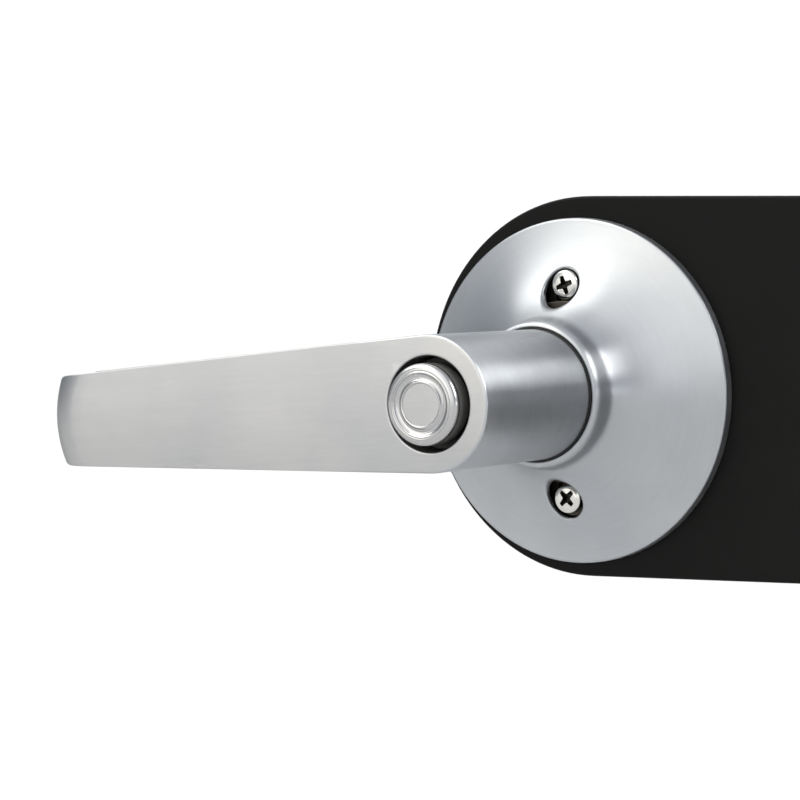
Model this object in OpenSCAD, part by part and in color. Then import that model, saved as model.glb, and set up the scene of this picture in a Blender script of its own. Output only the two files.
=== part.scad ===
// Door lever handle on a round rose, with a push button in the face of the lever.
// Every piece is drawn lying on the door: local +Z is the height off the door's
// face, local +Y is up and local +X is right. The module off_door() then stands it
// up, so that in the finished frame -Y points away from the door and +Z is up.
// The origin is where the spindle's axis meets the door's face.

/* [Door plate] */
// Thickness of the plate between the rose and the door
plate_t = 3; // [2:0.5:3.5]
// Height of the plate, which is also the diameter of its round ends
plate_h = 98; // [92:1:110]
// Distance between the centres of the two round ends
plate_run = 68; // [50:1:110]
// Distance of the first round end's centre to the right of the spindle
plate_shift_x = 2.3; // [0:0.1:5]
// Distance of the plate's centre line above the spindle
plate_shift_y = 1; // [-2:0.1:2]
// Distance between the two screws at the plate's far end
plate_screw_gap = 50; // [30:1:60]

/* [Rose] */
// Diameter of the rose
rose_d = 88.9; // [86:0.1:92]
// Depth of the rose's upright rim
rose_rim = 3; // [2:0.1:4]
// Thickness of the rose's sheet metal
rose_t = 1.5; // [1:0.1:1.6]
// How quickly the dish rises towards the collar
dish_gain = 340; // [335:1:345]
// Radius at which the dish would rise without end
dish_pole = 4.8; // [4.6:0.1:5]
// Outer diameter of the collar round the neck
collar_d = 38; // [37.8:0.1:38.4]
// Height of the collar's lip off the door
collar_h = 26.8; // [26:0.1:27.4]
// Diameter of the round holes over the two through bolts
rose_hole_d = 10.3; // [9.6:0.1:10.6]

/* [Lever] */
// Height of the lever's front face off the door
face_h = 76.3; // [76:0.1:78]
// Diameter of the neck where it enters the rose
neck_d = 33.3; // [33.2:0.1:33.4]
// Diameter of the hub at the lever's face
hub_d = 34.6; // [34:0.1:36]
// Distance from the spindle's axis to the end of the lever
lever_reach = 119; // [100:1:125]
// Half the angle between the blade's two long edges
blade_taper = 2.9; // [1:0.1:4]
// Angle by which the blade's centre line runs below level
blade_droop = 3.2; // [0:0.1:4]
// Radius of the blade's curved end, seen from the front
end_arc_r = 32; // [26:1:40]
// Thickness of the blade at the hub
blade_t = 9; // [8:0.5:10]
// Outer radius of the bend that turns the end back towards the door
bend_r = 9.5; // [9:0.5:12]
// Distance that the end reaches back from the face
lip_h = 20; // [14:0.5:24]
// Turn of the lever each way from rest, in degrees
lever_turn = 45; // [30:1:45]

/* [Push button] */
// Diameter of the button
button_d = 20.1; // [19:0.1:20.6]
// Diameter of the pocket that the button stands in
pocket_d = 24; // [23:0.1:25]
// How far the button stands out of the lever's face
button_proud = 2.9; // [2.5:0.1:3.2]
// Travel of the button
button_travel = 3; // [2:0.1:3]

/* [Spindle and fixings] */
// Diameter of the spindle inside the neck
spindle_d = 25.9; // [25.8:0.05:25.95]
// Diameter of the spindle's tail, which enters the lock
tail_d = 19; // [16:0.5:20]
// Length of the spindle's tail behind the door's face
tail_l = 28; // [20:1:40]
// Distance between the two through bolts
bolt_gap = 54.8; // [54:0.1:55.6]
// Diameter of the through bolts' shanks
bolt_d = 4.166; // [3.8:0.001:4.2]
// Length of the through bolts behind the door's face
bolt_l = 45; // [30:1:60]

/* [Hidden] */
$fn = 96;

// A hair of extra length that carries a cut past the face that it leaves by
past = 1;
// Radial play of a turning or sliding fit, and of pieces that only sit together
running = 0.05;
seated = 0.1;

// Rose
rose_r = rose_d / 2;
rim_h = plate_t + rose_rim;
rim_round = 0.6;
collar_r = collar_d / 2;
collar_lip_r = 17.5;
collar_lip_rise = 1.9;
collar_seat_r = 18.25;
collar_seat_h = 21;
dish_steps = 24;

// Insert under the rose, which holds the return spring
insert_r = 41.8;
insert_t = 1.6;
insert_boss_r = 22;
insert_boss_h = 0.4;
insert_neck_r = 18;
insert_neck_h = 20;
cage_r = 23.3;
cage_h = 12.2;
chamber_r = 19;
chamber_roof = 10.4;
cover_r = 20.5;
cover_t = 1.2;
cover_h = insert_boss_h + cover_t;
bolt_boss_r = 4.7;
bolt_seat_h = 8.3;
shank_r = bolt_d / 2 - 0.15;
plate_screw_l = 25;
rib_count = 12;
clip_angles = [30, 150, 270];

// Driver cam and its stops
cam_h = 2.8;
cam_top = 5.2;
cam_hub_r = 14.8;
cam_lobe_r = 18.6;
cam_lobe_half = 16;
stop_in_r = 16;
stop_half = 90 - cam_lobe_half - lever_turn - 1.4;
key_w = 3;
key_depth = 0.9;
circlip_low = 1.75;
circlip_t = 0.9;
circlip_depth = 0.6;
cam_tab_in = 17.4;
cam_tab_out = 18.1;
tab_half = 5;

// Return spring, whose two legs straddle the cam's tab and the insert's tab
spring_wire = 1.5;
spring_r = 16.3;
spring_leg_r = 18.7;
spring_low = 6.1;
spring_high = 9.5;
leg_half = 9;

// Spindle, its bearing and the washers in front of it
spindle_r = spindle_d / 2;
spindle_bore_r = 10.5;
spindle_front = 62;
tail_r = tail_d / 2;
tail_bore_r = 6.5;
bearing_r = 15.2;
bearing_flange_r = 16.5;
bearing_flange_h = 21;
wave_washer_h = 21.3;
thrust_washer_h = 21.55;
thrust_washer_t = 0.55;
neck_back = thrust_washer_h + thrust_washer_t + running;
washer_in = 13.2;
washer_out = 16.3;

// Lever
neck_r = neck_d / 2;
hub_r = hub_d / 2;
neck_bore_r = spindle_r + running;
web_h = 64;
pocket_floor = 68;
edge_round = 1;
blade_back = face_h - blade_t;
blade_end_t = 7;
end_centre = lever_reach - end_arc_r;
bend_start = end_arc_r - bend_r;
bend_h = face_h - bend_r;
lip_round = 2;
drive_rib_w = 4;
drive_rib_in = 11;
drive_rib_back = 50;

// Button, its stem and guide
button_r = button_d / 2;
pocket_r = pocket_d / 2;
button_top = face_h + button_proud;
button_wall = 1.6;
button_boss_wall = 1.2;
stem_r = 4;
stem_thin_r = 2;
stem_front = 76;
stem_step = 58;
stem_back = -tail_l + 1;
stem_guide_back = -tail_l + 0.3;
stem_guide_l = 4;
guide_flange_r = 11.6;
guide_flange_top = 70;
button_skirt = guide_flange_top + button_travel + 0.4;
guide_tube_r = 6.1;
guide_back = 60.2;
clip_top = guide_back - seated;
clip_t = 0.8;
clip_groove_r = 3.2;

// Catch that holds the lever on the spindle
catch_h = 36;
catch_r = 2.4;
catch_end = 16;
catch_head_r = 3.2;
hoop_out = spindle_bore_r - 0.15;
hoop_t = 0.6;
hoop_w = 6;
hoop_open = 60;

// Colours
satin_steel = [0.74, 0.74, 0.73];
chrome_steel = [0.88, 0.89, 0.9];
black_paint = [0.1, 0.1, 0.09];
black_nylon = [0.06, 0.06, 0.06];
zinc_cast = [0.45, 0.45, 0.44];
bearing_bronze = [0.71, 0.52, 0.28];
spring_steel = [0.5, 0.52, 0.56];
zinc_plate = [0.66, 0.66, 0.62];

// Height of the outside of the dish off the door at a given radius
function dish_h(r) = rim_h + dish_gain / (r - dish_pole) - dish_gain / (rose_r - dish_pole);
// Fall of the dish for each millimetre outwards
function dish_fall(r) = dish_gain / pow(r - dish_pole, 2);
// Point on the inside of the dish, one sheet thickness in from radius r outside
function dish_inside(r) =
    let (slant = sqrt(1 + pow(dish_fall(r), 2)))
    [r - rose_t * dish_fall(r) / slant, dish_h(r) - rose_t / slant];

// Points of an arc round a centre, from one angle to another
function arc(centre, r, from, to, steps) =
    [for (i = [0:steps]) centre + r * dir(from + (to - from) * i / steps)];
// Unit vector at an angle
function dir(angle) = [cos(angle), sin(angle)];

// Corners of a ring of wire across a path, at the point p on the way from a to b
function wire_ring(a, p, b, r, sides) =
    let (
        ahead = (b - a) / norm(b - a),
        across = cross(ahead, [0, 0, 1]) / norm(cross(ahead, [0, 0, 1])),
        over = cross(across, ahead)
    )
    [for (k = [0:sides - 1]) p + r * (cos(360 * k / sides) * across + sin(360 * k / sides) * over)];

// A round wire along a path that never runs straight up or down
module wire(path, r, sides = 8) {
    last = len(path) - 1;
    rings = [for (i = [0:last])
        wire_ring(path[max(i - 1, 0)], path[i], path[min(i + 1, last)], r, sides)];
    skin = [for (i = [0:last - 1], k = [0:sides - 1])
        [i * sides + k, i * sides + (k + 1) % sides,
            (i + 1) * sides + (k + 1) % sides, (i + 1) * sides + k]];
    caps = [[for (k = [0:sides - 1]) sides - 1 - k], [for (k = [0:sides - 1]) last * sides + k]];
    polyhedron([for (ring = rings, corner = ring) corner], concat(skin, caps));
}

// Stands a piece drawn on its back up against the door
module off_door() {
    rotate([90, 0, 0]) children();
}

// A ring about the spindle's axis
module ring(r_in, r_out, low, high) {
    translate([0, 0, low]) difference() {
        cylinder(r = r_out, h = high - low);
        translate([0, 0, -past]) cylinder(r = r_in, h = high - low + 2 * past);
    }
}

// A sector of a ring, centred on an angle
module ring_sector(r_in, r_out, low, high, middle, half) {
    far = 2 * r_out;
    intersection() {
        ring(r_in, r_out, low, high);
        translate([0, 0, low - past]) linear_extrude(high - low + 2 * past)
            polygon([[0, 0], far * dir(middle - half), far * dir(middle), far * dir(middle + half)]);
    }
}

// A slot cut through both walls of a tube, along its length
module slot_pair(width, low, high, r_out) {
    translate([-r_out, -width / 2, low]) cube([2 * r_out, width, high - low]);
}

// Places what is drawn on the axis of each through bolt
module at_bolts() {
    for (side = [-1, 1]) translate([0, side * bolt_gap / 2, 0]) children();
}

// Places what is drawn on the axis of each screw at the plate's far end
module at_plate_screws() {
    for (side = [-1, 1])
        translate([plate_shift_x + plate_run + plate_h / 8, plate_shift_y + side * plate_screw_gap / 2, 0])
            children();
}

// A cross recess with four tapering wings, sunk from height top
module cross_recess(top, depth, reach, width) {
    for (turn = [0, 90])
        rotate(turn) translate([0, width / 2, 0]) rotate([90, 0, 0]) linear_extrude(width)
            polygon([[-reach, top + past], [-reach, top], [-width / 2, top - depth],
                [width / 2, top - depth], [reach, top], [reach, top + past]]);
}

// Flat plate with two round ends, between the rose and the door
module backplate() {
    color(black_paint) off_door() difference() {
        translate([plate_shift_x, plate_shift_y, 0]) union() {
            cylinder(d = plate_h, h = plate_t);
            translate([plate_run, 0, 0]) cylinder(d = plate_h, h = plate_t);
            translate([0, -plate_h / 2, 0]) cube([plate_run, plate_h, plate_t]);
        }
        translate([0, 0, -past]) cylinder(r = insert_boss_r + 0.25, h = plate_t + 2 * past);
        at_bolts() translate([0, 0, -past]) cylinder(d = bolt_d + 0.4, h = plate_t + 2 * past);
        at_plate_screws() {
            translate([0, 0, -past]) cylinder(d = bolt_d + 0.4, h = plate_t + 2 * past);
            translate([0, 0, plate_t - 2]) cylinder(r1 = bolt_d / 2 + 0.2, r2 = 4.4, h = 2.05);
        }
    }
}

// Countersunk screws at the plate's far end
module plate_screws() {
    head_r = 3.9;
    head_top = plate_t - 0.1;
    color(black_paint) off_door() at_plate_screws() difference() {
        rotate_extrude() polygon([[0, -plate_screw_l], [bolt_d / 2 - 0.6, -plate_screw_l],
            [bolt_d / 2, 0.8 - plate_screw_l], [bolt_d / 2, 0], [shank_r, 0],
            [shank_r, head_top - 1.9], [head_r, head_top - 0.2], [head_r, head_top],
            [0, head_top]]);
        cross_recess(head_top, 1.5, 2.1, 0.8);
    }
}

// Dished cover with an upright rim and a collar round the neck
module rose() {
    outside = [for (i = [0:dish_steps])
        let (r = rose_r - rim_round - (rose_r - rim_round - collar_r) * i / dish_steps) [r, dish_h(r)]];
    inside = [for (i = [0:dish_steps])
        let (r = collar_r + 0.6 + (rose_r - 1.2 - collar_r - 0.6) * i / dish_steps) dish_inside(r)];
    lip = [for (i = [0:6])
        let (turn = 90 * i / 6)
        [collar_lip_r + (collar_r - collar_lip_r) * cos(turn),
            collar_h - collar_lip_rise * (1 - sin(turn))]];
    wall = rose_r - rose_t;
    color(satin_steel) off_door() difference() {
        rotate_extrude() polygon(concat(
            [[rose_r, plate_t]],
            arc([rose_r - rim_round, rim_h - rim_round], rim_round, 0, 80, 4),
            outside, lip,
            [[collar_lip_r, collar_seat_h], [collar_seat_r, collar_seat_h]],
            inside,
            [[wall, dish_inside(rose_r - 1.2)[1]], [wall, plate_t]]));
        at_bolts() cylinder(d = rose_hole_d, h = collar_h);
    }
}

// Sprung clips at the edge of the insert, which grip the inside of the rim
module rose_clips() {
    color(spring_steel) off_door() for (middle = clip_angles) {
        ring_sector(insert_r - 2.4, rose_r - rose_t - 0.05, plate_t, plate_t + 0.5, middle, 5);
        ring_sector(rose_r - rose_t - 0.65, rose_r - rose_t - 0.05, plate_t, plate_t + 1.2, middle, 5);
    }
}

// Cast insert that the bolts clamp to the door, with the chamber for the spring
module mounting_insert() {
    color(zinc_cast) off_door() {
        difference() {
            union() {
                rotate_extrude() polygon([[bearing_r, chamber_roof], [bearing_r, insert_neck_h],
                    [insert_neck_r, insert_neck_h], [insert_neck_r, cage_h], [cage_r, cage_h],
                    [cage_r, plate_t + insert_t], [insert_r, plate_t + insert_t],
                    [insert_r, plate_t], [insert_boss_r, plate_t], [insert_boss_r, insert_boss_h],
                    [cover_r, insert_boss_h], [cover_r, cover_h], [chamber_r, cover_h],
                    [chamber_r, chamber_roof]]);
                at_bolts() translate([0, 0, plate_t]) cylinder(r = bolt_boss_r, h = bolt_seat_h - plate_t);
                for (i = [0:rib_count - 1])
                    rotate(15 + 360 * i / rib_count) translate([cage_r - 0.5, -1, plate_t])
                        cube([11, 2, 3.8]);
            }
            at_bolts() cylinder(d = bolt_d + 0.3, h = bolt_seat_h + past);
            for (middle = clip_angles)
                ring_sector(insert_r - 2.6, insert_r + past, plate_t - past, plate_t + 2 * insert_t,
                    middle, 6);
        }
        for (middle = [0, 180])
            ring_sector(stop_in_r, chamber_r + 0.5, cover_h, cam_top, middle, stop_half);
        ring_sector(cam_tab_out + 0.3, chamber_r + 0.5, cam_top + 0.4, chamber_roof + 0.5, 90, tab_half);
    }
}

// Pressed disc that closes the spring's chamber on the door side
module cage_cover() {
    color(zinc_plate) off_door()
        ring(spindle_r + 0.45, cover_r - 0.02, insert_boss_h, cover_h - 0.02);
}

// Pan-head machine screws that run through the door
module through_bolts() {
    head_r = 3.85;
    head_t = 2.6;
    crown = 1.2;
    head_top = bolt_seat_h + head_t;
    turns = [20, 45];
    color(chrome_steel) off_door() for (side = [0, 1])
        translate([0, (1 - 2 * side) * bolt_gap / 2, 0]) rotate(turns[side]) difference() {
            rotate_extrude() polygon(concat(
                [[0, -bolt_l], [bolt_d / 2 - 0.5, -bolt_l], [bolt_d / 2, -bolt_l + 0.8],
                    [bolt_d / 2, 0], [shank_r, 0], [shank_r, bolt_seat_h], [head_r, bolt_seat_h]],
                arc([head_r - crown, head_top - crown], crown, 0, 90, 6),
                [[0, head_top]]));
            cross_recess(head_top, 1.7, 2.2, 0.85);
        }
}

// Nylon bush in the rose's collar, in which the neck turns
module neck_bush() {
    bush_in = neck_r + 0.1;
    bush_back = insert_neck_h + 0.02;
    bush_front = collar_h + 1.3;
    color(black_nylon) off_door() rotate_extrude() polygon([[bush_in, bush_back],
        [bush_in, bush_front], [bush_in + 0.2, bush_front], [collar_lip_r - 0.02, bush_front - 0.9],
        [collar_lip_r - 0.02, collar_seat_h - 0.02], [collar_seat_r - 0.05, collar_seat_h - 0.02],
        [collar_seat_r - 0.05, bush_back]]);
}

// Bronze bearing that the spindle turns in, with a thrust flange towards the lever
module spindle_bearing() {
    color(bearing_bronze) off_door() union() {
        ring(spindle_r + running, bearing_r, chamber_roof, insert_neck_h);
        ring(spindle_r + running, bearing_flange_r, insert_neck_h, bearing_flange_h);
    }
}

// Torsion spring that brings the lever back to rest from either way
module return_spring() {
    turn = 720 - 2 * leg_half;
    steps = 48;
    start = 90 + leg_half;
    end = start + turn;
    coil = [for (i = [1:steps - 1])
        let (a = start + turn * i / steps, r = spring_r)
        [r * cos(a), r * sin(a), spring_low + (spring_high - spring_low) * i / steps]];
    leg_in = [for (r = [spring_leg_r, 17.9, 17.2, 16.6]) [each r * dir(start), spring_low]];
    leg_out = [for (r = [16.6, 17.2, 17.9, spring_leg_r]) [each r * dir(end), spring_high]];
    color(spring_steel) off_door() wire(concat(leg_in, coil, leg_out), spring_wire / 2);
}

// Front view of the lever along -X: hub circle with a wedge whose edges touch it
module lever_outline() {
    beyond = lever_reach + end_arc_r;
    beyond_w = (hub_r - beyond * sin(blade_taper)) / cos(blade_taper);
    polygon(concat(
        arc([0, 0], hub_r, -90 - blade_taper, 90 + blade_taper, 48),
        [[-beyond, beyond_w], [-beyond, -beyond_w]]));
}

// Blade: a flat slab as far as the centre of its curved end, and from there a
// section turned about that centre, which bends back into the lip
module blade() {
    back_end = face_h - blade_end_t;
    lip_back = face_h - lip_h + lip_round;
    inner = end_arc_r - blade_end_t;
    rotate([90, 0, 0]) translate([0, 0, -hub_d]) linear_extrude(2 * hub_d)
        polygon([[hub_d, face_h], [-end_centre, face_h], [-end_centre, back_end],
            [-neck_r, blade_back], [hub_d, blade_back]]);
    translate([-end_centre, 0, 0]) rotate(90) rotate_extrude(angle = 180) polygon(concat(
        [[0, back_end], [bend_start, back_end]],
        arc([bend_start, bend_h], bend_r - blade_end_t, 90, 0, 6),
        arc([inner + lip_round, lip_back], lip_round, 180, 270, 6),
        arc([end_arc_r - lip_round, lip_back], lip_round, 270, 360, 6),
        arc([bend_start, bend_h], bend_r, 0, 90, 12),
        [[0, face_h]]));
}

// Cast lever: hollow neck, hub with the button's pocket, and the blade
module lever() {
    color(satin_steel) off_door() difference() {
        union() {
            rotate_extrude() polygon([[0, neck_back], [neck_r, neck_back], [neck_r, collar_h],
                [hub_r - 0.2, blade_back + 1], [0, blade_back + 1]]);
            rotate(blade_droop) intersection() {
                translate([0, 0, past]) linear_extrude(face_h) lever_outline();
                blade();
            }
        }
        translate([0, 0, neck_back - past]) cylinder(r = neck_bore_r, h = web_h - neck_back + past);
        cylinder(r = guide_tube_r + seated, h = face_h);
        rotate_extrude() polygon(concat(
            [[0, pocket_floor], [pocket_r, pocket_floor]],
            arc([pocket_r + edge_round, face_h - edge_round], edge_round, 180, 90, 4),
            [[pocket_r + edge_round, face_h + past], [0, face_h + past]]));
        rotate([90, 0, 0]) translate([0, catch_h, 0]) cylinder(r = catch_r + 0.2, h = hub_r + past);
    }
    color(satin_steel) off_door() for (turn = [0, 180])
        rotate(turn) translate([drive_rib_in, -drive_rib_w / 2, drive_rib_back])
            cube([neck_bore_r + 0.5 - drive_rib_in, drive_rib_w, web_h - drive_rib_back]);
}

// Tube that carries the lever's turn through the bearing to the lock
module spindle() {
    groove_low = circlip_low - running;
    groove_high = circlip_low + circlip_t + running;
    groove_r = spindle_r - circlip_depth;
    color(zinc_plate) off_door() difference() {
        rotate_extrude() polygon([[tail_bore_r, -tail_l], [tail_r, -tail_l], [tail_r, 0],
            [spindle_r, 0], [spindle_r, groove_low], [groove_r, groove_low],
            [groove_r, groove_high], [spindle_r, groove_high], [spindle_r, spindle_front],
            [spindle_bore_r, spindle_front], [spindle_bore_r, 4], [tail_bore_r, 2]]);
        slot_pair(drive_rib_w + seated, drive_rib_back - 2, spindle_front + past, spindle_r + past);
        slot_pair(key_w, -tail_l - past, -tail_l / 2 - 2, tail_r + past);
        for (side = [0, 180]) rotate(side)
            translate([spindle_r - key_depth, -key_w / 2 - seated, groove_low])
                cube([key_depth + past, key_w + 2 * seated, chamber_roof - groove_low]);
        rotate([90, 0, 0]) translate([0, catch_h, 0])
            cylinder(r = catch_r + running, h = spindle_r + past);
    }
}

// Cam that the spindle turns: two lobes for the stops, and a tab for the spring
module driver_cam() {
    color(zinc_cast) off_door() union() {
        ring(spindle_r + running, cam_hub_r, cam_h, chamber_roof - seated);
        for (middle = [90, 270])
            ring_sector(cam_hub_r - 0.5, cam_lobe_r, cam_h, cam_top, middle, cam_lobe_half);
        ring_sector(cam_tab_in, cam_tab_out, cam_top - 0.5, chamber_roof - 0.2, 90, tab_half);
        for (side = [0, 180]) rotate(side)
            translate([spindle_r - key_depth + seated, -key_w / 2, cam_h])
                cube([key_depth + 0.5, key_w, chamber_roof - seated - cam_h]);
    }
}

// Open ring that holds the cam on the spindle
module cam_circlip() {
    opening = 50;
    color(spring_steel) off_door() difference() {
        ring(spindle_r - circlip_depth + running, cam_hub_r, circlip_low, circlip_low + circlip_t);
        ring_sector(0, cam_hub_r + past, 0, cam_h, 270, opening / 2);
    }
}

// Wavy spring washer between the bearing's flange and the thrust washer
module wave_washer() {
    waves = 3;
    segments = 48;
    rise = 0.1;
    thick = 0.14;
    corners = [for (i = [0:segments - 1])
        let (a = 360 * i / segments, h = wave_washer_h + rise * sin(waves * a))
        each [[each washer_in * dir(a), h - thick / 2], [each washer_out * dir(a), h - thick / 2],
            [each washer_out * dir(a), h + thick / 2], [each washer_in * dir(a), h + thick / 2]]];
    faces = [for (i = [0:segments - 1], k = [0:3])
        let (next = (i + 1) % segments)
        [4 * i + k, 4 * next + k, 4 * next + (k + 1) % 4, 4 * i + (k + 1) % 4]];
    color(spring_steel) off_door() polyhedron(corners, faces);
}

// Flat washer that the end of the neck turns against
module thrust_washer() {
    color(zinc_plate) off_door()
        ring(washer_in, washer_out, thrust_washer_h, thrust_washer_h + thrust_washer_t);
}

// Flanged bush in the lever's web, which guides the button's stem
module button_guide() {
    color(black_nylon) off_door() union() {
        ring(stem_r + running, guide_tube_r, guide_back, guide_flange_top);
        ring(stem_r + running, guide_flange_r, pocket_floor, guide_flange_top);
    }
}

// Coil spring between the guide and the button
module button_spring() {
    turns = 4;
    steps = 72;
    r = 6.6;
    wire_r = 0.35;
    low = guide_flange_top + wire_r + 0.05;
    high = button_top - button_wall - wire_r - 0.05;
    color(spring_steel) off_door() wire([for (i = [0:steps])
        let (a = 360 * turns * i / steps) [r * cos(a), r * sin(a), low + (high - low) * i / steps]],
        wire_r);
}

// Disc in the spindle's tail that keeps the thin end of the stem on the axis
module stem_guide() {
    color(black_nylon) off_door()
        ring(stem_thin_r + running, tail_bore_r - 0.02, stem_guide_back, stem_guide_back + stem_guide_l);
}

// Open hoop inside the spindle that presses the catch outwards
module catch_spring() {
    color(spring_steel) off_door() difference() {
        ring(hoop_out - hoop_t, hoop_out, catch_h - hoop_w / 2, catch_h + hoop_w / 2);
        ring_sector(0, hoop_out + past, catch_h - hoop_w, catch_h + hoop_w, 90, hoop_open / 2);
        rotate([90, 0, 0]) translate([0, catch_h, 0]) cylinder(r = catch_r + seated, h = hoop_out + past);
    }
}

// Button cap: flat middle, raised bead, dished ring and rounded shoulder
module push_button() {
    middle_r = 0.51 * button_r;
    dish_r = 0.74 * button_r;
    shoulder = 1.5;
    boss_r = stem_r + button_boss_wall;
    boss_back = button_skirt + 1;
    color(chrome_steel) off_door() rotate_extrude() polygon(concat(
        [[0, button_top], [middle_r, button_top], [middle_r + 0.4, button_top - 0.15],
            [dish_r - 0.6, button_top - 0.7], [dish_r, button_top - 0.2]],
        arc([button_r - shoulder, button_top - 0.15 - shoulder], shoulder, 90, 0, 6),
        [[button_r, button_skirt], [button_r - button_wall, button_skirt],
            [button_r - button_wall, button_top - button_wall], [boss_r, button_top - button_wall],
            [boss_r, boss_back], [stem_r + 0.02, boss_back],
            [stem_r + 0.02, stem_front + 0.02], [0, stem_front + 0.02]]));
}

// Stem that carries the button's push through the spindle to the lock
module button_stem() {
    groove_high = clip_top + 0.05;
    groove_low = clip_top - clip_t - 0.05;
    color(zinc_plate) off_door() rotate_extrude() polygon([[0, stem_back], [stem_thin_r - 0.5, stem_back],
        [stem_thin_r, stem_back + 0.5], [stem_thin_r, stem_step - 2], [stem_r, stem_step],
        [stem_r, groove_low], [clip_groove_r, groove_low], [clip_groove_r, groove_high],
        [stem_r, groove_high], [stem_r, stem_front], [0, stem_front]]);
}

// Open ring on the stem that stops the button leaving its guide
module button_clip() {
    opening = 70;
    color(spring_steel) off_door() difference() {
        ring(clip_groove_r + 0.05, guide_tube_r + 0.6, clip_top - clip_t, clip_top);
        ring_sector(0, guide_tube_r + 2, clip_top - 2 * clip_t, clip_top + clip_t, 90, opening / 2);
    }
}

// Headed pin that locks the lever to the spindle, pressed in to free the lever
module lever_catch() {
    head_out = sqrt(pow(hoop_out - hoop_t - seated, 2) - pow(catch_head_r, 2));
    color(zinc_plate) off_door() rotate([90, 0, 0]) translate([0, catch_h, 0]) rotate_extrude() polygon([
        [0, head_out - 0.9], [catch_head_r, head_out - 0.9], [catch_head_r, head_out],
        [catch_r, head_out], [catch_r, catch_end - 0.5], [catch_r - 0.5, catch_end], [0, catch_end]]);
}

backplate();
plate_screws();
rose();
rose_clips();
mounting_insert();
cage_cover();
through_bolts();
neck_bush();
spindle_bearing();
return_spring();
lever();
spindle();
driver_cam();
cam_circlip();
wave_washer();
thrust_washer();
button_guide();
button_spring();
stem_guide();
catch_spring();
push_button();
button_stem();
button_clip();
lever_catch();
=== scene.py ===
"""Looks of the door lever handle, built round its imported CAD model."""

from math import acos, asin, copysign, cos, hypot, inf, pi, radians, remainder, sin, sqrt, tan, tau

import bmesh
import bpy
import numpy as np
from mathutils import Matrix, Vector
from mathutils.geometry import delaunay_2d_cdt


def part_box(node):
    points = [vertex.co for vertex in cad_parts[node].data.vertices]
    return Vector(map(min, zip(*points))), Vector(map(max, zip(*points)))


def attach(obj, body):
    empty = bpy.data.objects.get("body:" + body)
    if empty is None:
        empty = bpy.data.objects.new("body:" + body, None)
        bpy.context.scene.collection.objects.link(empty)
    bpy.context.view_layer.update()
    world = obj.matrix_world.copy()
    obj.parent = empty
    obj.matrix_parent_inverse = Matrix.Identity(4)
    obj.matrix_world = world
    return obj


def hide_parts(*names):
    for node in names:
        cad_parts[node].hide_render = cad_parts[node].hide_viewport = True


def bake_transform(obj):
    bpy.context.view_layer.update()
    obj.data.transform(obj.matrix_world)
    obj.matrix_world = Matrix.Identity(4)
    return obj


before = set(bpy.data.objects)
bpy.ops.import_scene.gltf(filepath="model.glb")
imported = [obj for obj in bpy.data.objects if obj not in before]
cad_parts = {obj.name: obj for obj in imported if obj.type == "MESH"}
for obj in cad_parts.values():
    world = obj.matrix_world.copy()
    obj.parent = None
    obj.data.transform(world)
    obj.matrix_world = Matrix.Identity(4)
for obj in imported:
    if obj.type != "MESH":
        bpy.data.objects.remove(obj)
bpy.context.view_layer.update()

# ---- sizes, in millimetres
MM = 0.001


def extent(node):
    """A CAD node's box in millimetres: (left, right), (low, high), (near the door, far from it)."""
    low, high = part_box(node)
    return (low.x / MM, high.x / MM), (low.z / MM, high.z / MM), (-high.y / MM, -low.y / MM)


def turned_size(node):
    """A turned CAD node's outer radius, then its near and its far height off the door."""
    (_, radius), _, (near, far) = extent(node)
    return radius, near, far


# Door plate
(PLATE_LEFT, PLATE_RIGHT), (PLATE_LOW, PLATE_HIGH), (_, PLATE_T) = extent("backplate")
PLATE_R = (PLATE_HIGH - PLATE_LOW) / 2
PLATE_Y = (PLATE_HIGH + PLATE_LOW) / 2
PLATE_ROUND = 0.7

# Rose
ROSE_R, _, COLLAR_H = turned_size("rose")
ROSE_RIM_H = PLATE_T + 3
ROSE_SHEET = 1.5
ROSE_EDGE = 0.9
DISH_GAIN = 340
DISH_POLE = 4.8
COLLAR_R = 19
COLLAR_FOOT = 1.15
COLLAR_BORE_R = 18.25
COLLAR_LIP_R = 17.2
LIP_RISE = 2.9
LIP_TOP = 0.35
LIP_BACK_H = 21
HOLE_R = 5.05
HOLE_Y = 27
HOLE_X = -0.5
HOLE_MIDDLE = -0.5
HOLE_ROLL = 0.9
HOLE_MARGIN = 0.2
HOLE_SHEET = 0.6
BOLT_Y = 27.4

# Lever
NECK_BACK, FACE_H = extent("lever")[2]
HUB_R = 17.3
HUB_ROUND = 0.5
NECK_R = 16.65
END_CENTRE = 87
END_R = 32
BLADE_T = 9
BACK_H = FACE_H - BLADE_T
FILLET_R = 2.2
BLADE_END_T = 7
BEND_R = 9.5
BEND_START = END_R - BEND_R
BEND_H = FACE_H - BEND_R
LIP_H = 20
LIP_ROUND = 2

# Roundings of the blade's long edges: the front one gets sharper along its first part, and both get
# rounder in the bend
EDGE_FADE = 0.3
EDGE_FADE_RUN = 20
BEND_EDGE_GAIN = 0.9
BACK_ROUND = 0.8
BEND_BACK_GAIN = 0.7

# Lever: angles, crown, and the neck's draft towards the door
TAPER = radians(2.9)
DROOP = radians(3.2)
CROWN = 0.55
DRAFT = (HUB_R - NECK_R) / (FACE_H - COLLAR_H)

# Lever: pocket, web and bore, and the catch's hole with the strip of wall that it goes through
POCKET_R = 12
POCKET_FLOOR = 68
MOUTH_ROUND = 0.5
WEB_HOLE_R = 6.25
WEB_BACK = 64
NECK_FOOT = 24
NECK_BORE_R = NECK_R - 3.66
CATCH_H = 36
CATCH_HOLE_R = 2.6
STRIP_LOW, STRIP_HIGH = CATCH_H - 5, CATCH_H + 5

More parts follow.
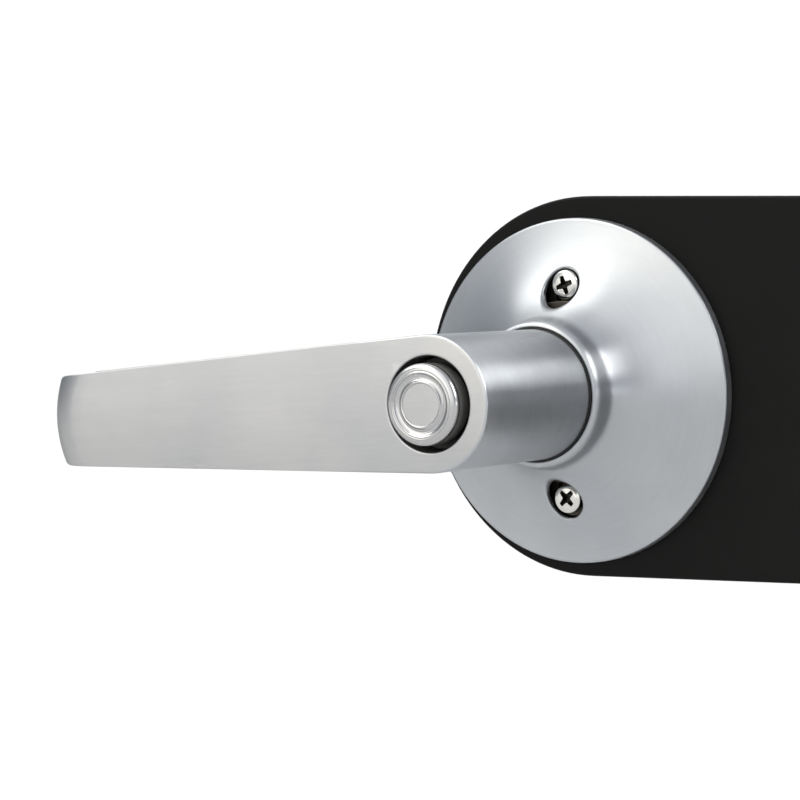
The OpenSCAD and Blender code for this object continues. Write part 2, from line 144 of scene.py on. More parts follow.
# Button and its stem
BUTTON_R = 10.3
BUTTON_BACK = extent("push_button")[2][0]
BUTTON_TOP = FACE_H + 3.6
STEM_R, STEM_LOW, STEM_TOP = turned_size("button_stem")

# Washers on the spindle
WASHER_BORE_R = 13.2

# Bolts: threads, and smooth shanks where they pass through the plate
BOLT_R = 2.083
SHANK_R = BOLT_R - 0.15
THREAD_PITCH = 0.8
THREAD_DEPTH = 0.42
BOLT_SEAT = 8.3


# ---- curves
QUARTER = [radians(15 * k) for k in range(7)]


def smooth(share):
    """Goes from 0 to 1 with a level start and end."""
    return share * share * (3 - 2 * share)


def polar(r, t):
    """Point (x, y) at a radius and an angle."""
    return r * cos(t), r * sin(t)


def circle(r, x=0, y=0, steps=96):
    """Points (x, y) of a circle."""
    return [(x + r * cos(t), y + r * sin(t)) for t in (tau * i / steps for i in range(steps))]


def rounded(corners, steps=5, loop=True):
    """A profile of corners (radius, height, rounding), with each rounding drawn as an arc. A short straight
    piece on either side of each arc keeps the shading flat beside it."""
    path = []
    count = len(corners)
    for i, (x, y, r) in enumerate(corners):
        here = np.array([x, y], float)
        if r <= 0 or (not loop and i in (0, count - 1)):
            path.append(tuple(here))
            continue
        before = np.array(corners[i - 1][:2], float) - here
        after = np.array(corners[(i + 1) % count][:2], float) - here
        before /= np.linalg.norm(before)
        after /= np.linalg.norm(after)
        half = acos(np.clip(before @ after, -1, 1)) / 2
        reach = r / tan(half)
        middle = before + after
        centre = here + middle / np.linalg.norm(middle) * r / sin(half)
        start, end = here + before * reach, here + after * reach
        turn = pi - 2 * half
        path.append(tuple(start + before * 0.2 * r))
        for share in (k / steps for k in range(steps + 1)):
            a = sin((1 - share) * turn) / sin(turn)
            b = sin(share * turn) / sin(turn)
            path.append(tuple(centre + (start - centre) * a + (end - centre) * b))
        path.append(tuple(end + after * 0.2 * r))
    return path


# ---- mesh tools
class Skin:
    """Points in millimetres (right, up, height off the door) and the faces between them."""

    def __init__(self):
        self.points, self.faces, self.kinds = [], [], []

    def add(self, points):
        """Adds points and returns the row of their numbers."""
        start = len(self.points)
        self.points.extend(tuple(float(v) for v in p) for p in points)
        return list(range(start, len(self.points)))

    def face(self, corners, kind=0):
        self.faces.append(tuple(corners))
        self.kinds.append(kind)

    def bridge(self, a, b, kind=0, closed=True):
        """Quads between two rows of the same length."""
        count = len(a)
        for i in range(count if closed else count - 1):
            j = (i + 1) % count
            self.face((a[i], a[j], b[j], b[i]), kind)

    def bridge_all(self, rows, kind=0, closed=True, loop=False):
        """Quads between each row and the next, and from the last to the first on a loop."""
        for a, b in zip(rows, rows[1:] + (rows[:1] if loop else [])):
            self.bridge(a, b, kind, closed)

    def ring(self, r, h, x=0, y=0, steps=96):
        """Adds a level circle of points."""
        return self.add([(px, py, h) for px, py in circle(r, x, y, steps)])

    def rod(self, rows):
        """Quads between rows, and a face over either end."""
        self.bridge_all(rows)
        self.face(rows[0])
        self.face(rows[-1][::-1])

    def turn(self, profile, kind=0, steps=128, loop=False, place=None):
        """Turns a profile of (radius, height) about the spindle's axis, or puts it elsewhere with place."""
        place = place or (lambda x, y, h: (x, y, h))
        rows = [self.add([place(x, y, h) for x, y in circle(r, steps=steps)]) for r, h in profile]
        self.bridge_all(rows, kind, True, loop)
        return rows


def finish_piece(skin, name, body, nodes, materials, sharp=38):
    """Makes the skin into a smooth-shaded piece that stands for CAD nodes: merges points, turns the faces
    outwards, and lets it ride on its body, if one is given."""
    mesh = bpy.data.meshes.new(name)
    mesh.from_pydata([(x * MM, -h * MM, y * MM) for x, y, h in skin.points], [], skin.faces)
    mesh.polygons.foreach_set("material_index", skin.kinds)
    work = bmesh.new()
    work.from_mesh(mesh)
    bmesh.ops.remove_doubles(work, verts=work.verts, dist=0.002 * MM)
    bmesh.ops.dissolve_degenerate(work, edges=work.edges, dist=0.001 * MM)
    loose = [v for v in work.verts if not v.link_faces]
    bmesh.ops.delete(work, geom=loose, context="VERTS")
    bmesh.ops.recalc_face_normals(work, faces=work.faces)
    work.to_mesh(mesh)
    work.free()
    mesh.polygons.foreach_set("use_smooth", [True] * len(mesh.polygons))
    mesh.set_sharp_from_angle(angle=radians(sharp))
    for material in materials:
        mesh.materials.append(MATERIALS[material])
    piece = bpy.data.objects.new(name, mesh)
    bpy.context.scene.collection.objects.link(piece)
    if body:
        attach(piece, body)
    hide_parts(*nodes)
    return piece


def triangulate(skin, numbers, keep, kind=0, other=1, edges=()):
    """Fills the area between the numbered points where keep holds, seen from the front, or from below with
    the height off the door (2) as the other axis. Edges are pairs of numbers that go right round it."""
    order = {n: i for i, n in enumerate(numbers)}
    flat = [Vector((skin.points[n][0], skin.points[n][other])) for n in numbers]
    made = delaunay_2d_cdt(flat, [(order[a], order[b]) for a, b in edges], [], 1 if edges else 0, 1e-7)
    verts, faces, source = made[0], made[2], made[3]
    for f in faces:
        x, y = sum((verts[i] for i in f), Vector((0, 0))) / len(f)
        if keep(x, y):
            skin.face([numbers[source[i][0]] for i in f], kind)


def coil(path, r, sides=16):
    """Skin of a round wire along a path of points."""
    skin = Skin()
    path = [Vector(p) for p in path]
    rows = []
    for i, p in enumerate(path):
        ahead = (path[min(i + 1, len(path) - 1)] - path[max(i - 1, 0)]).normalized()
        across = ahead.cross(Vector((0, 0, 1))).normalized()
        over = across.cross(ahead)
        rows.append(skin.add([p + r * (x * across + y * over) for x, y in circle(1, steps=sides)]))
    skin.rod(rows)
    return skin


def open_ring(r_in, r_out, low, high, gap_middle, gap, edge, steps=72):
    """Skin of a flat ring with a gap and rounded edges."""
    skin = Skin()
    section = rounded(washer(r_in, r_out, low, high, edge), 3)
    rows = []
    for i in range(steps + 1):
        t = radians(gap_middle + gap / 2 + (360 - gap) * i / steps)
        rows.append(skin.add([(*polar(r, t), h) for r, h in section]))
    skin.rod(rows)
    return skin


# ---- material tools
class Graph:
    """Short way to write the nodes of a new material, or of a given world."""

    def __init__(self, name, world=None):
        self.material = world or bpy.data.materials.new(name)
        self.material.use_nodes = True
        self.tree = self.material.node_tree
        self.shader = self.tree.nodes.get("Principled BSDF")

    def plug(self, socket, value):
        """Gives a socket a value, or links another node's output to it."""
        if isinstance(value, bpy.types.NodeSocket):
            self.tree.links.new(value, socket)
        else:
            socket.default_value = value

    def node(self, kind, settings=None, **inputs):
        """Adds a node. Inputs are named or numbered (_0), and take a value or another node's output."""
        made = self.tree.nodes.new("ShaderNode" + kind)
        for key, value in (settings or {}).items():
            setattr(made, key, value)
        for key, value in inputs.items():
            self.plug(made.inputs[int(key[1:]) if key[0] == "_" else key.replace("_", " ")], value)
        return made

    def math(self, operation, a, b=0.0, c=0.0):
        return self.node("Math", {"operation": operation}, _0=a, _1=b, _2=c).outputs[0]

    def times(self, a, b):
        return self.math("MULTIPLY", a, b)

    def vector(self, operation, a, b=(0, 0, 0)):
        made = self.node("VectorMath", {"operation": operation}, _0=a, _1=b)
        return made.outputs["Value" if operation == "LENGTH" else "Vector"]

    def combine(self, x=0.0, y=0.0, z=0.0):
        return self.node("CombineXYZ", X=x, Y=y, Z=z).outputs[0]

    def place(self):
        return self.node("TexCoord").outputs["Object"]

    def noise(self, vector, scale, detail=2.0, roughness=0.5):
        return self.node("TexNoise", Vector=vector, Scale=scale, Detail=detail,
                         Roughness=roughness).outputs["Fac"]

    def span(self, value, low, high, to_low=0.0, to_high=1.0):
        """Maps a value from one range to another, clamped."""
        return self.node("MapRange", Value=value, From_Min=low, From_Max=high, To_Min=to_low,
                         To_Max=to_high).outputs[0]

    def edge(self, full=0.6):
        """1 on the sharpest outer edges and 0 on flat places."""
        return self.span(self.node("NewGeometry").outputs["Pointiness"], 0.52, full)

    def weigh(self, a, b, share):
        """Sum of two values, of which the first counts for a share."""
        return self.math("ADD", self.times(a, share), self.times(b, 1 - share))

    def mix(self, share, a, b):
        return self.node("Mix", {"data_type": "RGBA"}, _0=share, _6=a, _7=b).outputs[2]

    def shades(self, share, low, high, tint):
        """Colour between two shades of one tint."""
        return self.mix(share, rgb(low, tint), rgb(high, tint))

    def bump(self, height, distance):
        return self.node("Bump", Height=height, Distance=distance * MM, Strength=1.0).outputs[0]

    def set(self, **inputs):
        for key, value in inputs.items():
            self.plug(self.shader.inputs[key.replace("_", " ")], value)


def rgb(value, tint=(1, 1, 1)):
    return (value * tint[0], value * tint[1], value * tint[2], 1)


def grain_coordinates(graph, lay):
    """Coordinates in millimetres that run slowly along the brush lines, the lines' direction, and the
    object's own coordinates."""
    place = graph.place()
    x, y, z = graph.node("SeparateXYZ", _0=place).outputs
    deep = graph.times(y, 1 / MM)
    if lay == "round":
        around = 4.0
        flat = graph.combine(x, 0.0, z)
        outward = graph.vector("NORMALIZE", flat)
        away = graph.node("SeparateXYZ", _0=outward)
        along = graph.vector("CROSS_PRODUCT", (0, 1, 0), outward)
        radius = graph.times(graph.vector("LENGTH", flat), 1 / MM)
        across = graph.combine(graph.times(away.outputs[0], around),
                               graph.times(away.outputs[2], around), graph.math("ADD", radius, deep))
    else:
        slow = 0.05
        level = graph.math("SUBTRACT", z, graph.times(x, tan(DROOP)))
        along = graph.combine(cos(DROOP), 0.0, sin(DROOP))
        across = graph.combine(graph.times(x, slow / MM), deep, graph.times(level, 1 / MM))
    world = graph.node("VectorTransform", {"vector_type": "VECTOR", "convert_from": "OBJECT",
                                           "convert_to": "WORLD"}, _0=along).outputs[0]
    return across, world, place


def satin(name, lay, shade=0.42, tint=(1, 1, 1), rough=0.3, anisotropy=0.5, depth=0.006, streak=0.04):
    """Brushed satin plating: fine lines, faint hazy patches, cloudy gloss and brighter worn edges."""
    graph = Graph(name)
    across, along, place = grain_coordinates(graph, lay)
    lines = graph.weigh(graph.noise(across, 3.2, 3.0, 0.6), graph.noise(across, 0.7, 3.0, 0.5), 0.6)
    tone = graph.span(lines, 0.3, 0.7)
    edge = graph.edge()

    # Haze: duller and cooler patches, under the same lines
    dull, bright = 0.93, 1.02
    cool = (tint[0] * 0.985, tint[1], tint[2] * 1.015)
    haze = graph.span(graph.noise(place, 26.0, 3.0), 0.38, 0.62)
    base = graph.mix(haze, graph.shades(tone, shade * (dull - streak), shade * (dull + streak), cool),
                     graph.shades(tone, shade * (bright - streak), shade * (bright + streak), tint))
    base = graph.mix(graph.times(edge, 0.5), base, rgb(min(1.0, shade * 1.12), tint))

    cloud = graph.weigh(graph.noise(place, 90.0, 2.0), lines, 0.6)
    gloss = graph.span(cloud, 0.3, 0.7, rough * 0.93, rough * 1.07)
    gloss = graph.math("SUBTRACT", gloss, graph.times(edge, 0.05))
    graph.set(Base_Color=base, Metallic=1.0, Roughness=gloss, Anisotropic=anisotropy, Tangent=along,
              Anisotropic_Rotation=0.25, Normal=graph.bump(lines, depth), Specular_Tint=rgb(0.55))
    return graph.material


def plain_metal(name, shade, tint=(1, 1, 1), rough=0.3, mottle=400.0, depth=0.01):
    """Metal with a fine mottled surface: plated, cast or drawn."""
    graph = Graph(name)
    place = graph.place()
    grainy = graph.noise(place, mottle, 4.0, 0.6)
    tone = graph.weigh(grainy, graph.noise(place, mottle * 0.12, 2.0), 0.5)
    base = graph.shades(graph.span(tone, 0.3, 0.7), shade * 0.92, shade * 1.06, tint)
    base = graph.mix(graph.times(graph.edge(), 0.6), base, rgb(min(1.0, shade * 1.25), tint))
    gloss = graph.span(tone, 0.3, 0.7, rough * 0.85, rough * 1.15)
    graph.set(Base_Color=base, Metallic=1.0, Roughness=gloss, Normal=graph.bump(grainy, depth))
    return graph.material


def coating(name, shade, rough, mottle, depth, specular):
    """Paint, powder coat or moulded nylon: fine orange peel, cloudy gloss, rubbed edges."""
    graph = Graph(name)
    place = graph.place()
    peel = graph.noise(place, mottle, 3.0, 0.55)
    cloud = graph.noise(place, mottle * 0.05, 3.0)
    base = graph.shades(graph.span(cloud, 0.3, 0.7), shade * 0.88, shade * 1.12, (1.02, 1, 0.96))
    base = graph.mix(graph.times(graph.edge(0.62), 0.5), base, rgb(shade * 2.2, (1, 1, 0.98)))
    gloss = graph.span(cloud, 0.3, 0.7, rough * 0.92, rough * 1.08)
    graph.set(Base_Color=base, Metallic=0.0, Roughness=gloss, Normal=graph.bump(peel, depth),
              Specular_IOR_Level=specular)
    return graph.material


MATERIALS = {
    "satin_round": satin("satin_round", "round", tint=(0.97, 1, 1.035), rough=0.33, anisotropy=0.8),
    # The neck's satin is the same plating as the rose's, with stronger brush lines. Its shade is raised
    # above the rose's as painted light, so the neck looks more brightly lit.
    "satin_neck_painted_light": satin("satin_neck_painted_light", "round", shade=0.46, tint=(0.97, 1, 1.035), rough=0.33, anisotropy=0.8,
                        depth=0.011, streak=0.08),
    "satin_long": satin("satin_long", "long", rough=0.29, anisotropy=0.7),
    "chrome": plain_metal("chrome", 0.45, rough=0.18, mottle=300.0, depth=0.0006),
    "chrome_disc": satin("chrome_disc", "long", shade=0.42, rough=0.3, anisotropy=0.3, depth=0.002),
    "skirt": coating("skirt", 0.085, 0.4, 900.0, 0.004, 0.5),
    # Nearly black metal for the deep faces of the screws' cross recesses: painted shade, which keeps their
    # slopes from reflecting the studio.
    "recess": plain_metal("recess", 0.05, (1, 0.97, 0.85), rough=0.5, mottle=600.0, depth=0.004),
    "screw": plain_metal("screw", 0.6, (1, 0.99, 0.95), rough=0.16, mottle=500.0, depth=0.004),
    "black_coat": coating("black_coat", 0.004, 0.5, 2600.0, 0.01, 0.09),
    "black_nylon": coating("black_nylon", 0.006, 0.42, 900.0, 0.006, 0.35),
    "pocket": plain_metal("pocket", 0.4, rough=0.38, mottle=500.0, depth=0.008),
    # Cast zinc, very dark and brownish: partly the metal's own dull tone, partly painted shade for the
    # insert seen down the rose's holes and for the lever's bore.
    "cast_zinc": plain_metal("cast_zinc", 0.07, (1, 0.93, 0.78), rough=0.55, mottle=700.0, depth=0.03),
    "bronze": plain_metal("bronze", 0.55, (1.15, 0.85, 0.5), rough=0.35, mottle=600.0, depth=0.01),
    "spring": plain_metal("spring", 0.42, (0.97, 1, 1.05), rough=0.3, mottle=900.0, depth=0.006),
    "plated": plain_metal("plated", 0.55, (1, 0.99, 0.95), rough=0.28, mottle=450.0, depth=0.006),
}


# ---- door plate
def plate_outline(inset, steps=64):
    """Outline of the plate with its round ends, moved in by inset."""
    left, right = PLATE_LEFT + PLATE_R, PLATE_RIGHT - PLATE_R
    r = PLATE_R - inset
    ends = []
    for centre, start in ((left, 90), (right, -90)):
        for i in range(steps + 1):
            t = radians(start + 180 * i / steps)
            ends.append((centre + r * cos(t), PLATE_Y + r * sin(t)))
    return ends


def plate_screw_places():
    """The upper and lower plate screws' axes."""
    (left, right), (low, high), _ = extent("plate_screws")
    head_r = (right - left) / 2
    x = (left + right) / 2
    return [(x, low + head_r), (x, high - head_r)]


def both_sides(profile):
    """A profile (inset, height) from the plate's front, and the same again to its back."""
    return profile + [(inset, PLATE_T - h) for inset, h in reversed(profile)]


def backplate():
    """Black plate: rounded edges, and holes for the insert, the bolts and the far screws."""
    skin = Skin()
    hold = 0.4
    edge = [(PLATE_ROUND + hold, PLATE_T)]
    edge += [(PLATE_ROUND * (1 - sin(t)), PLATE_T - PLATE_ROUND * (1 - cos(t))) for t in QUARTER]
    rows = [skin.add([(x, y, h) for x, y in plate_outline(inset)]) for inset, h in both_sides(edge)]
    skin.bridge_all(rows)
    front, back, holes = list(rows[0]), list(rows[-1]), []
    plain = both_sides([(0.25 + hold, PLATE_T), (0.25, PLATE_T), (0.07, PLATE_T - 0.07),
                        (0, PLATE_T - 0.25)])
    sunk = [(2.3 + hold, PLATE_T), (2.2, PLATE_T), (2.1, PLATE_T - 0.08), (0, PLATE_T - 2), (0, 0.2),
            (0.2, 0), (0.2 + hold, 0)]
    screw_hole_r = BOLT_R + 0.2
    places = [(0, 0, turned_size("cage_cover")[0] + 1.75, plain, 96)]
    places += [(0, side * BOLT_Y, screw_hole_r, plain, 48) for side in (-1, 1)]
    places += [(x, y, screw_hole_r, sunk, 48) for x, y in plate_screw_places()]
    for x, y, r, profile, steps in places:
        rings = [skin.ring(r + out, h, x, y, steps) for out, h in profile]
        skin.bridge_all(rings)
        front += rings[0]
        back += rings[-1]
        holes.append((x, y, r + profile[0][0], r + profile[-1][0]))
    triangulate(skin, front, lambda px, py: all(hypot(px - x, py - y) > r for x, y, r, _ in holes))
    triangulate(skin, back, lambda px, py: all(hypot(px - x, py - y) > r for x, y, _, r in holes))
    finish_piece(skin, "backplate_coated", "base", ["backplate"], ["black_coat"])


# ---- rose
def dish_h(r):
    """Height of the dish's outside off the door."""
    return ROSE_RIM_H + DISH_GAIN / (r - DISH_POLE) - DISH_GAIN / (ROSE_R - DISH_POLE)


def dish_fall(r):
    """Slope of the dish's outside."""
    return DISH_GAIN / (r - DISH_POLE) ** 2


def from_hole(x, y):
    """Distance from the nearer bolt hole's centre."""
    return hypot(x - HOLE_X, abs(y - HOLE_MIDDLE) - HOLE_Y)


def hole_drop(x, y):
    """How far the rolled edge of the nearer bolt hole sinks below the dish."""
    out = from_hole(x, y) - HOLE_R
    if out >= HOLE_ROLL:
        return 0
    across = HOLE_ROLL - max(out, 0)
    return HOLE_ROLL - sqrt(max(HOLE_ROLL ** 2 - across ** 2, 0))


def collar_profile(dish_in):
    """The collar's outside as a smooth curve, from the dish up to its rounded lip and down inside."""
    foot, top = np.array([dish_in, dish_h(dish_in)]), np.array([COLLAR_R, COLLAR_H - LIP_RISE])
    rise = np.array([-1, dish_fall(dish_in)]) / hypot(1, dish_fall(dish_in))
    curve = []
    pulls = (foot, foot + 1.8 * rise, top + np.array([0.2, -2.0]), top)  # of a Bezier curve
    for t in (k / 16 for k in range(17)):
        weights = ((1 - t) ** 3, 3 * t * (1 - t) ** 2, 3 * t * t * (1 - t), t ** 3)
        curve.append(tuple(sum(w * p for w, p in zip(weights, pulls))))
    across = COLLAR_R - COLLAR_LIP_R - LIP_TOP
    lip = [(COLLAR_R - across * (1 - cos(u)), COLLAR_H - LIP_RISE * (1 - sin(u)))
           for u in (radians(10 * k) for k in range(1, 10))]
    inside = rounded([(COLLAR_LIP_R + LIP_TOP, COLLAR_H, 0), (COLLAR_LIP_R, COLLAR_H, 0.25),
                      (COLLAR_LIP_R + 0.32, LIP_BACK_H, 0), (COLLAR_BORE_R, LIP_BACK_H, 0),
                      (COLLAR_BORE_R, dish_h(dish_in) - 2.4, 0)], 4, False)
    return curve[1:] + lip + inside[1:]


def rim_profile(dish_out):
    """The rim: over the dish's edge, down to the plate and up inside."""
    inner_r, foot_h = ROSE_R - ROSE_SHEET, PLATE_T + 0.02
    return rounded([(dish_out, dish_h(dish_out), 0), (ROSE_R, dish_h(ROSE_R) + 0.05, 0.75),
                    (ROSE_R, foot_h, 0.2), (inner_r, foot_h, 0.2), (inner_r, dish_h(ROSE_R) - 1.4, 0.3)],
                   6, False)[1:]


def squeeze(x, y):
    """Moves the outer part of the rose's inside inwards, so that it clears the rim's wall."""
    r = hypot(x, y)
    inner, limit, dish_out = 36, ROSE_R - ROSE_SHEET - 0.45, ROSE_R - ROSE_EDGE
    if r <= inner:
        return x, y
    new = inner + (r - inner) * (limit - inner) / (dish_out - inner)
    return x * new / r, y * new / r


def inside_h(x, y):
    """Height of the rose's inside off the door."""
    r = hypot(x, y)
    return dish_h(r) - max(ROSE_SHEET * sqrt(1 + dish_fall(r) ** 2), hole_drop(x, y) + HOLE_SHEET)


def add_sheet(skin, flat):
    """Adds a row of the dish's outside, and the row of its inside under it."""
    outer = skin.add([(x, y, dish_h(hypot(x, y)) - hole_drop(x, y)) for x, y in flat])
    return outer, skin.add([(*squeeze(x, y), inside_h(*squeeze(x, y))) for x, y in flat])


def border(grid, regular, side):
    """Edges between the dish's regular grid and the area round the bolt hole on one side."""
    rings, steps = len(regular), len(grid[0])
    found = []
    for i in range(rings):
        for j in range(steps):
            if regular[i][j] or grid[i][j][1] * side < 0:
                continue
            k = (j + 1) % steps
            for di, dj, edge in ((-1, 0, ((i, j), (i, k))), (1, 0, ((i + 1, j), (i + 1, k))),
                                 (0, -1, ((i, j), (i + 1, j))), (0, 1, ((i, k), (i + 1, k)))):
                if not 0 <= i + di < rings or regular[i + di][(j + dj) % steps]:
                    found.append(edge)
    return found


def bolt_hole(skin, sheet, fence, side):
    """A rolled bolt hole: its own rings, and the dish between them and the grid's points about it."""
    around = [add_sheet(skin, circle(HOLE_R + out, HOLE_X, HOLE_MIDDLE + side * HOLE_Y, 72))
              for out in (0, 0.03, 0.1, 0.22, 0.4, 0.6, HOLE_ROLL, HOLE_ROLL + HOLE_MARGIN)]
    for near, far in zip(around, around[1:]):
        for kind in (0, 1):
            skin.bridge(near[kind], far[kind], kind)
    skin.bridge(*around[0], 0)
    corners = sorted({corner for edge in fence for corner in edge})
    outer = around[-1][0] + [sheet[i][0][j] for i, j in corners]
    inner = around[-1][1] + [sheet[i][1][j] for i, j in corners]
    kept = [(sheet[i][0][j], sheet[k][0][m]) for (i, j), (k, m) in fence]
    twin = dict(zip(outer, inner))
    start = len(skin.faces)
    triangulate(skin, outer, lambda x, y: from_hole(x, y) > HOLE_R + HOLE_ROLL + HOLE_MARGIN, edges=kept)
    for f in skin.faces[start:]:
        skin.face([twin[n] for n in reversed(f)], 1)


def rose():
    """Satin rose: dish with rolled bolt holes, upright rim, and collar with its rounded lip."""
    skin = Skin()
    dish_in, dish_out = COLLAR_R + COLLAR_FOOT, ROSE_R - ROSE_EDGE
    steps, rings = 192, 22
    pitch = (dish_out - dish_in) / rings
    clear = HOLE_R + HOLE_ROLL + HOLE_MARGIN + 0.1
    grid = [circle(dish_in + pitch * i, steps=steps) for i in range(rings + 1)]
    regular = [[all(from_hole(*grid[i + di][(j + dj) % steps]) > clear for di in (0, 1) for dj in (0, 1))
                for j in range(steps)] for i in range(rings)]
    sheet = [add_sheet(skin, ring) for ring in grid]
    for i in range(rings):
        for j in range(steps):
            if regular[i][j]:
                k = (j + 1) % steps
                for side, (near, far) in enumerate(zip(sheet[i], sheet[i + 1])):
                    skin.face((near[j], near[k], far[k], far[j]), side)
    for side in (-1, 1):
        bolt_hole(skin, sheet, border(grid, regular, side), side)
    for profile, (outer, inner) in ((rim_profile(dish_out), sheet[-1]), (collar_profile(dish_in), sheet[0])):
        rows = [skin.ring(r, h, steps=steps) for r, h in profile]
        skin.bridge_all([outer] + rows + [inner])
    finish_piece(skin, "rose_satin", "base", ["rose"], ["satin_round", "plated"], 50)


# ---- lever
def wedge_angle(radius, inset, centre):
    """Angle off the centre line at which an arc meets the blade's long edge, moved in by inset."""
    return asin((HUB_R - inset - centre * sin(TAPER)) / radius) - TAPER


def half_width(a):
    """Half the blade's width, at a distance from the spindle's axis."""
    return (HUB_R - max(a, 0) * sin(TAPER)) / cos(TAPER)


def thickness(a):
    """The blade's thickness, which falls evenly from the neck to the bend."""
    share = min(max((a - NECK_R) / (END_CENTRE - NECK_R), 0), 1)
    return BLADE_T + (BLADE_END_T - BLADE_T) * share


def crown(a, b, depth=0.0):
    """How far the face falls away towards its long edges."""
    return CROWN * min(1, (b / half_width(a)) ** 2) * max(0, 1 - depth / BLADE_END_T)


def blade_to_frame(a, b, h):
    """Blade's own axes, along the centre line and up across it, to right and up."""
    return (-a * cos(DROOP) - b * sin(DROOP), -a * sin(DROOP) + b * cos(DROOP), h)


def edge_profile(front, back):
    """Inset and depth round the blade's long edge; a negative depth counts from the back."""
    hold, tiny = 0.35, 1e-9
    return ([(front * (1 - sin(t)), front * (1 - cos(t))) for t in QUARTER]
            + [(0, front + hold), (0, -back - hold - tiny)]
            + [(back * (1 - cos(t)), -back * (1 - sin(t)) - tiny) for t in QUARTER])


def neck_radius(h):
    """Radius of the neck's outside, which narrows from the hub down to the collar."""
    return HUB_R - DRAFT * (FACE_H - max(h, COLLAR_H))


class Station:
    """A place along the blade: an arc about a centre, how far it has gone round the bend and down the lip,
    how far round the lip's end (cap), and its edges."""

    def __init__(self, centre, radius, turn=0.0, run=0.0, cap=0.0):
        share = turn / (pi / 2)
        self.centre, self.radius, self.turn, self.run, self.cap = centre, radius, turn, run, cap
        self.front = HUB_ROUND - EDGE_FADE * min(1, centre / EDGE_FADE_RUN) + BEND_EDGE_GAIN * smooth(share)
        self.back = BACK_ROUND + BEND_BACK_GAIN * share
        self.edges = edge_profile(self.front, self.back)

    def point(self, inset, depth, across):
        """Point with a given inset from the side and depth behind the face; across is 1 at the top edge."""
        thick = BLADE_END_T
        shrink = LIP_ROUND * (1 - cos(self.cap))
        if self.turn == 0:
            limit = wedge_angle(self.radius, self.front, self.centre)
            a, b = polar(self.radius, across * limit)
            a += self.centre
            move = (self.front - inset) * abs(across) ** 3
            a += move * sin(TAPER)
            b += copysign(move, across) * cos(TAPER)
            thick = thickness(a)
        if depth < 0:
            depth += thick
        if self.turn == 0:
            b -= copysign(DRAFT * depth * abs(across) ** 3, across)
            return blade_to_frame(a, b, FACE_H - depth - crown(a, b, depth))
        depth = shrink + depth * (thick - 2 * shrink) / thick
        r = self.radius - depth * sin(self.turn)
        a, b = polar(r, across * wedge_angle(r, inset + shrink * 0.8 + DRAFT * depth, self.centre))
        a += self.centre
        h = BEND_H - self.run + (BEND_R - depth - crown(a, b, depth)) * cos(self.turn)
        return blade_to_frame(a, b, h)


# Places across the blade, from 1 at its top edge to -1. The lever's rings start with the half circle that
# the blade leaves from (LEFT, top to bottom) and go on round the back of the hub (RIGHT)
ACROSS = [sin(radians(90 - 180 * j / 44)) for j in range(45)]
JOIN = pi / 2 - TAPER
LEFT = [JOIN * v for v in ACROSS]
RIGHT = [-JOIN - (tau - 2 * JOIN) * (i + 1) / 52 for i in range(51)]
AROUND = LEFT + RIGHT
FREE_STATION = 9
FACE_KIND, NECK_KIND, POCKET_KIND, INNER_KIND = range(4)


def face_at(r, t, depth=0.0):
    """Height off the door of a place on the crowned face, or at a depth behind it."""
    return FACE_H - depth - crown(*polar(r, t), depth)


def lever_ring(skin, r, height_at):
    """A row of points all round the lever, at a radius, with the height given for each angle."""
    return skin.add([blade_to_frame(*polar(r, t), height_at(t)) for t in AROUND])


def pierce(skin, upper, lower, radius_at, kind):
    """Joins two rings of the neck's wall round the catch's hole, and returns the hole's edge."""
    below, half_gap, margin = DROOP - pi / 2, 0.32, 0.7
    gap = [i for i, t in enumerate(AROUND) if abs(remainder(t - below, tau)) < half_gap]
    rest = list(range(gap[-1], len(AROUND))) + list(range(gap[0] + 1))
    skin.bridge([upper[i] for i in rest], [lower[i] for i in rest], kind, closed=False)
    edges = [skin.add([(x, -sqrt(radius_at(h) ** 2 - x * x), h)
                       for x, h in circle(CATCH_HOLE_R + out, 0, CATCH_H, 40)]) for out in (0, 0.15, margin)]
    skin.bridge_all(edges, kind)
    triangulate(skin, edges[-1] + [upper[i] for i in gap] + [lower[i] for i in gap],
                lambda x, h: hypot(x, h - CATCH_H) > CATCH_HOLE_R + margin, kind, 2)
    return edges[0]


def lever_inside(skin):
    """Face round the pocket, the pocket with its rounded mouth, the hole through the web and the neck's
    bore. Returns the hub's outer ring, the neck's lowest ring and the inner edge of the catch's hole."""
    mouth = POCKET_R + MOUTH_ROUND
    rings = [lever_ring(skin, r, lambda t: face_at(r, t))
             for r in (mouth, mouth + 0.3, 14, 15.2, 16.2, HUB_R - HUB_ROUND)]
    skin.bridge_all(rings, FACE_KIND)
    pocket = [lever_ring(skin, mouth - MOUTH_ROUND * sin(s),
                         lambda t: face_at(mouth, t) - MOUTH_ROUND * (1 - cos(s))) for s in QUARTER[1:]]
    skin.bridge_all([rings[0]] + pocket, FACE_KIND)
    walls = rounded([(POCKET_R, FACE_H - 1.4, 0), (POCKET_R, POCKET_FLOOR, 0.4),
                     (WEB_HOLE_R, POCKET_FLOOR, 0.2), (WEB_HOLE_R, WEB_BACK, 0.2),
                     (NECK_BORE_R, WEB_BACK, 0.6), (NECK_BORE_R, STRIP_HIGH, 0), (NECK_BORE_R, STRIP_LOW, 0),
                     (NECK_BORE_R, NECK_BACK, 0.25), (NECK_R, NECK_BACK, 0.25), (NECK_R, NECK_FOOT, 0)],
                    4, False)
    rows = [lever_ring(skin, r, lambda t: h) for r, h in walls]
    web = next(i for i, (r, h) in enumerate(walls) if r < WEB_HOLE_R + 0.35)
    strip = walls.index((NECK_BORE_R, STRIP_HIGH))
    skin.bridge_all([pocket[-1]] + rows[:web + 1], POCKET_KIND)
    skin.bridge_all(rows[web:strip + 1], INNER_KIND)
    skin.bridge_all(rows[strip + 1:], INNER_KIND)
    hole = pierce(skin, rows[strip], rows[strip + 1], lambda h: NECK_BORE_R, INNER_KIND)
    return rings[-1], rows[-1], hole


